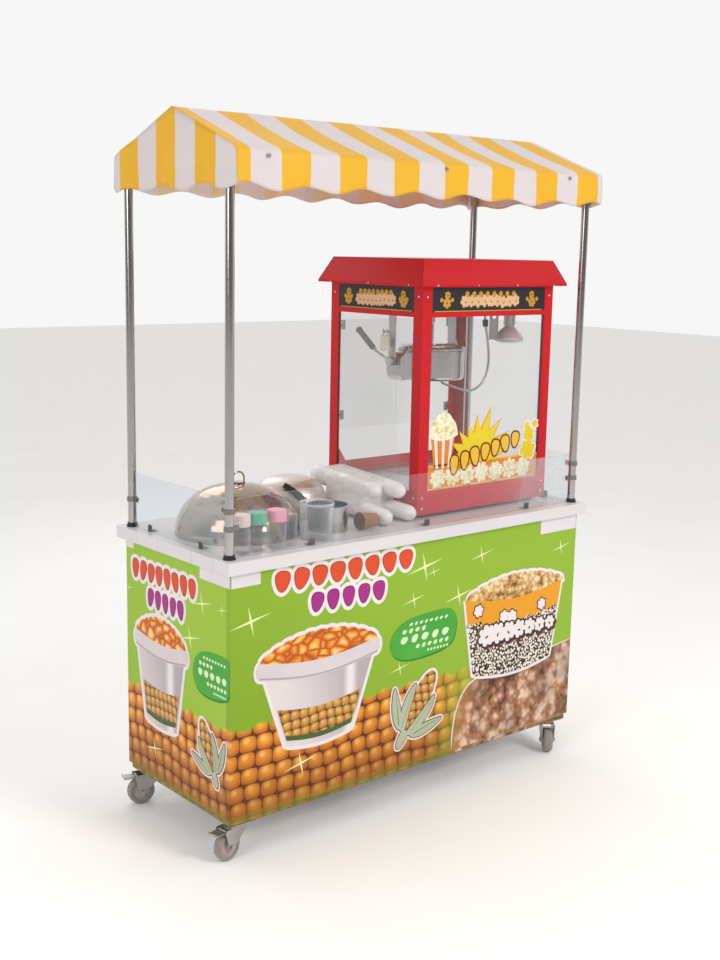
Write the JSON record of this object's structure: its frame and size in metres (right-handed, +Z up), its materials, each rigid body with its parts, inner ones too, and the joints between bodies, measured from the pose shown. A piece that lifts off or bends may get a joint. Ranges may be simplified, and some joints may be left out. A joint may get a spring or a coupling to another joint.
{
  "type": "popcorn cart",
  "caption": "Wheeled vending counter with a striped gable canopy, glazed popcorn popper with a tilting kettle, steamer pans under dome lids and clear splash guards.",
  "frame": {"origin": "on the floor under the middle of the cart", "axes": "+X to the cart's right as a customer sees it, the printed front faces -Y, +Z up"},
  "size_m": [1.4107, 0.594, 1.976],
  "materials": {
    "zinc": "satin zinc plate",
    "white_board": "white melamine board",
    "printed_panel": "printed vinyl over board",
    "worktop": "pale laminate",
    "dark_plastic": "moulded",
    "chrome": "polished",
    "frame_tube": "satin",
    "canopy_fabric": "striped coated cloth",
    "acrylic": "clear acrylic",
    "rubber": "matte",
    "red_enamel": "gloss enamel",
    "stainless": "brushed",
    "sign_black": "back-printed panel",
    "lamp_glass": "satin reflector glass",
    "cup_film": "film-wrapped cups",
    "castor_rubber": "grey tyre"
  },
  "bodies": {
    "root": {"base_frame": "zinc", "cabinet_boards": "white_board", "front_panel": "printed_panel", "left_end_panel": "printed_panel", "right_end_panel": "printed_panel", "rear_frame": "white_board", "cabinet_door_hinges": "zinc", "worktop": "worktop", "post_sockets": "dark_plastic", "canopy_posts": "chrome", "canopy_frame": "frame_tube", "canopy_cover": "canopy_fabric", "canopy_screws": "chrome", "splash_guards": "acrylic", "guard_clips": "chrome", "castor_plates": "zinc", "popper_feet": "rubber", "popper_base": "red_enamel", "popper_deck": "stainless", "popper_corner_posts": "red_enamel", "popper_header": "red_enamel", "sign_panels": "sign_black", "popper_roof": "red_enamel", "popper_windows": "acrylic", "popper_chute": "red_enamel", "popper_door_hinges": "chrome", "stir_motor": "stainless", "kettle_hanger": "stainless", "heat_lamp": "lamp_glass", "lamp_holder": "stainless", "kettle_conduit": "stainless", "steamer_pans": "stainless", "clear_containers": "acrylic", "sauce_pot": "stainless", "cup_stacks": "cup_film"},
    "cabinet_door_left": {"cabinet_door_left": "white_board"},
    "cabinet_door_right": {"cabinet_door_right": "white_board"},
    "castor_lf": {"castor_fork_lf": "zinc"},
    "castor_lb": {"castor_fork_lb": "zinc"},
    "castor_rf": {"castor_fork_rf": "zinc"},
    "castor_rb": {"castor_fork_rb": "zinc"},
    "wheel_lf": {"castor_wheel_lf": "castor_rubber"},
    "wheel_lb": {"castor_wheel_lb": "castor_rubber"},
    "wheel_rf": {"castor_wheel_rf": "castor_rubber"},
    "wheel_rb": {"castor_wheel_rb": "castor_rubber"},
    "pedal_lf": {"brake_pedal_lf": "zinc"},
    "pedal_lb": {"brake_pedal_lb": "zinc"},
    "kernel_drawer": {"kernel_drawer": "stainless"},
    "popper_door_left": {"popper_door_left": "acrylic"},
    "popper_door_right": {"popper_door_right": "acrylic"},
    "rocker_a": {"rocker_switch_a": "dark_plastic"},
    "rocker_b": {"rocker_switch_b": "dark_plastic"},
    "rocker_c": {"rocker_switch_c": "dark_plastic"},
    "kettle": {"kettle_pot": "stainless", "kettle_handle": "dark_plastic"},
    "kettle_lid_front": {"kettle_lid_front": "stainless"},
    "kettle_lid_rear": {"kettle_lid_rear": "stainless"},
    "stirrer": {"kettle_stirrer": "stainless"},
    "dome_lid_left": {"dome_lid_left": "chrome"},
    "dome_lid_right": {"dome_lid_right": "chrome"}
  },
  "joints": [
    {"name": "castor_swivel_lf", "type": "hinge", "parent": "root", "child": "castor_lf", "pos_m": [-0.627, -0.218, 0.1], "axis": [0, 0, 1], "continuous": true},
    {"name": "wheel_spin_lf", "type": "hinge", "parent": "castor_lf", "child": "wheel_lf", "pos_m": [-0.65851, -0.22356, 0.04], "axis": [0.1736, -0.9848, 0], "continuous": true},
    {"name": "brake_pedal_lf", "type": "hinge", "parent": "castor_lf", "child": "pedal_lf", "pos_m": [-0.6723, -0.22599, 0.086], "axis": [0.1736, -0.9848, 0], "range_deg": [0, 18]},
    {"name": "castor_swivel_lb", "type": "hinge", "parent": "root", "child": "castor_lb", "pos_m": [-0.627, 0.218, 0.1], "axis": [0, 0, 1], "continuous": true},
    {"name": "wheel_spin_lb", "type": "hinge", "parent": "castor_lb", "child": "wheel_lb", "pos_m": [-0.65791, 0.22628, 0.04], "axis": [-0.2588, -0.9659, 0], "continuous": true},
    {"name": "brake_pedal_lb", "type": "hinge", "parent": "castor_lb", "child": "pedal_lb", "pos_m": [-0.67143, 0.22991, 0.086], "axis": [-0.2588, -0.9659, 0], "range_deg": [0, 18]},
    {"name": "castor_swivel_rf", "type": "hinge", "parent": "root", "child": "castor_rf", "pos_m": [0.627, -0.218, 0.1], "axis": [0, 0, 1], "continuous": true},
    {"name": "wheel_spin_rf", "type": "hinge", "parent": "castor_rf", "child": "wheel_rf", "pos_m": [0.60643, -0.24251, 0.04], "axis": [0.766, -0.6428, 0], "continuous": true},
    {"name": "castor_swivel_rb", "type": "hinge", "parent": "root", "child": "castor_rb", "pos_m": [0.627, 0.218, 0.1], "axis": [0, 0, 1], "continuous": true},
    {"name": "wheel_spin_rb", "type": "hinge", "parent": "castor_rb", "child": "wheel_rb", "pos_m": [0.65707, 0.22895, 0.04], "axis": [-0.342, 0.9397, 0], "continuous": true},
    {"name": "cabinet_door_left_hinge", "type": "hinge", "parent": "root", "child": "cabinet_door_left", "pos_m": [-0.618, 0.267, 0.45], "axis": [0, 0, 1], "range_deg": [0, 110]},
    {"name": "cabinet_door_right_hinge", "type": "hinge", "parent": "root", "child": "cabinet_door_right", "pos_m": [0.618, 0.267, 0.45], "axis": [0, 0, -1], "range_deg": [0, 110]},
    {"name": "popper_door_left_hinge", "type": "hinge", "parent": "root", "child": "popper_door_left", "pos_m": [0.099, 0.2576, 1.2], "axis": [0, 0, 1], "range_deg": [0, 105]},
    {"name": "popper_door_right_hinge", "type": "hinge", "parent": "root", "child": "popper_door_right", "pos_m": [0.581, 0.2576, 1.2], "axis": [0, 0, -1], "range_deg": [0, 105]},
    {"name": "kernel_drawer_slide", "type": "slide", "parent": "root", "child": "kernel_drawer", "axis": [0, 1, 0], "range_m": [0, 0.24]},
    {"name": "kettle_tilt", "type": "hinge", "parent": "root", "child": "kettle", "pos_m": [0.295, 0.04, 1.29], "axis": [1, 0, 0], "range_deg": [0, 95], "deforming": ["kettle_conduit"]},
    {"name": "kettle_lid_front_hinge", "type": "hinge", "parent": "kettle", "child": "kettle_lid_front", "pos_m": [0.295, 0.04, 1.332], "axis": [-1, 0, 0], "range_deg": [0, 55]},
    {"name": "kettle_lid_rear_hinge", "type": "hinge", "parent": "kettle", "child": "kettle_lid_rear", "pos_m": [0.295, 0.04, 1.332], "axis": [1, 0, 0], "range_deg": [0, 55]},
    {"name": "stirrer_spin", "type": "hinge", "parent": "kettle", "child": "stirrer", "pos_m": [0.295, 0.04, 1.23], "axis": [0, 0, 1], "continuous": true},
    {"name": "rocker_a_tip", "type": "hinge", "parent": "root", "child": "rocker_a", "pos_m": [0.41, 0.254, 1.49], "axis": [1, 0, 0], "range_deg": [-16, 0]},
    {"name": "rocker_b_tip", "type": "hinge", "parent": "root", "child": "rocker_b", "pos_m": [0.45, 0.254, 1.49], "axis": [1, 0, 0], "range_deg": [-16, 0]},
    {"name": "rocker_c_tip", "type": "hinge", "parent": "root", "child": "rocker_c", "pos_m": [0.49, 0.254, 1.49], "axis": [1, 0, 0], "range_deg": [-16, 0]},
    {"name": "dome_lid_left_lift", "type": "slide", "parent": "root", "child": "dome_lid_left", "axis": [0, 0, 1], "range_m": [0, 0.25]},
    {"name": "dome_lid_right_lift", "type": "slide", "parent": "root", "child": "dome_lid_right", "axis": [0, 0, 1], "range_m": [0, 0.25]}
  ]
}
